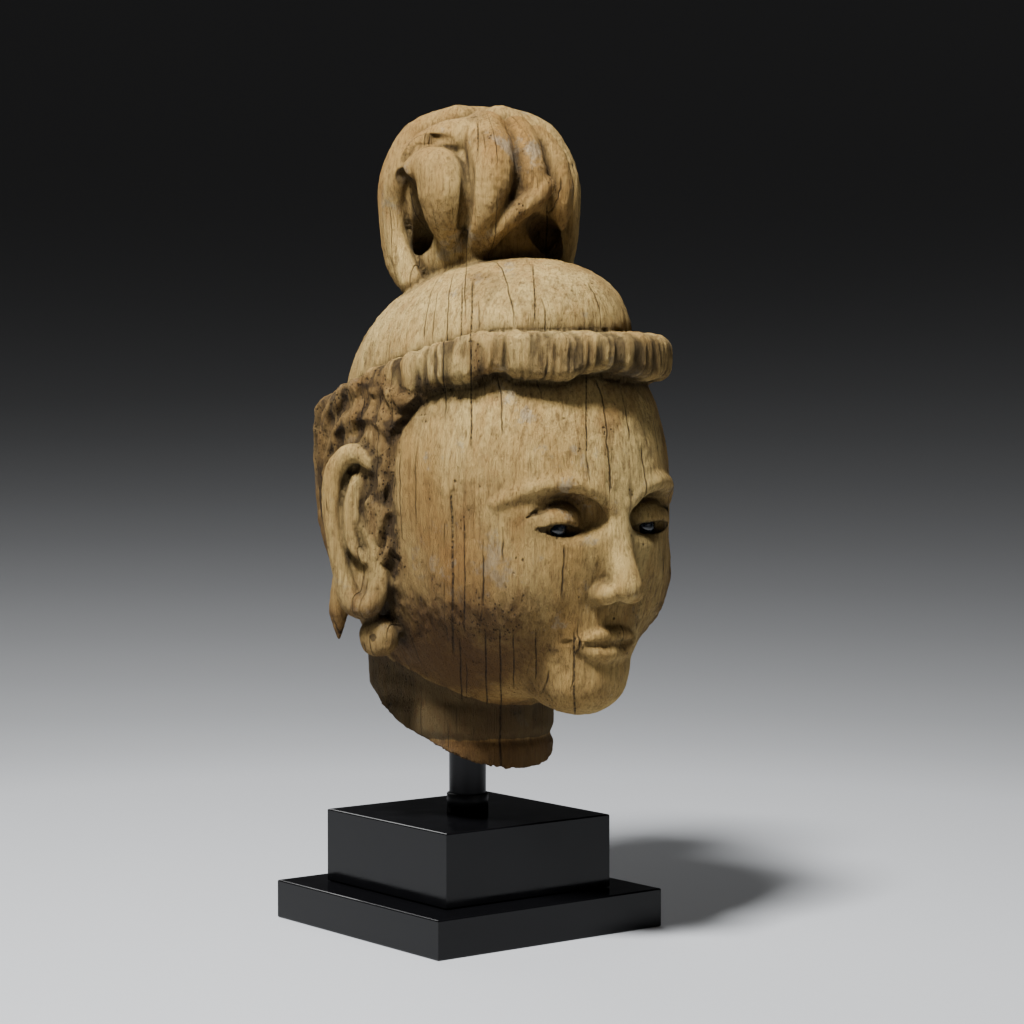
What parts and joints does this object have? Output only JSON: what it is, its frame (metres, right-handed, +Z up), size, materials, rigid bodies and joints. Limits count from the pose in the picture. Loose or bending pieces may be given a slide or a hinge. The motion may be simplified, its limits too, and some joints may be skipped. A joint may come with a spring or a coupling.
{
  "type": "carved wooden head on a stand",
  "caption": "Carved wooden head with a looped topknot, long ears and inlaid eyes, held on a round post over a stepped square stand.",
  "frame": {"origin": "centre of the stand's underside", "axes": "+Z up, the face looks along -Y, the sitter's right ear is on the -X side"},
  "size_m": [0.2968, 0.3479, 0.6816],
  "materials": {
    "weathered_wood": "dry weathered carved wood, open grain, traces of pale ground",
    "eye_glass": "polished dark glass",
    "black_steel": "satin black",
    "black_lacquer": "semi-gloss black lacquer on wood"
  },
  "bodies": {
    "root": {"carved_head": "weathered_wood", "glass_eye_right": "eye_glass", "glass_eye_left": "eye_glass", "post": "black_steel", "post_collar": "black_steel", "upper_block": "black_lacquer", "lower_slab": "black_lacquer"}
  },
  "joints": []
}
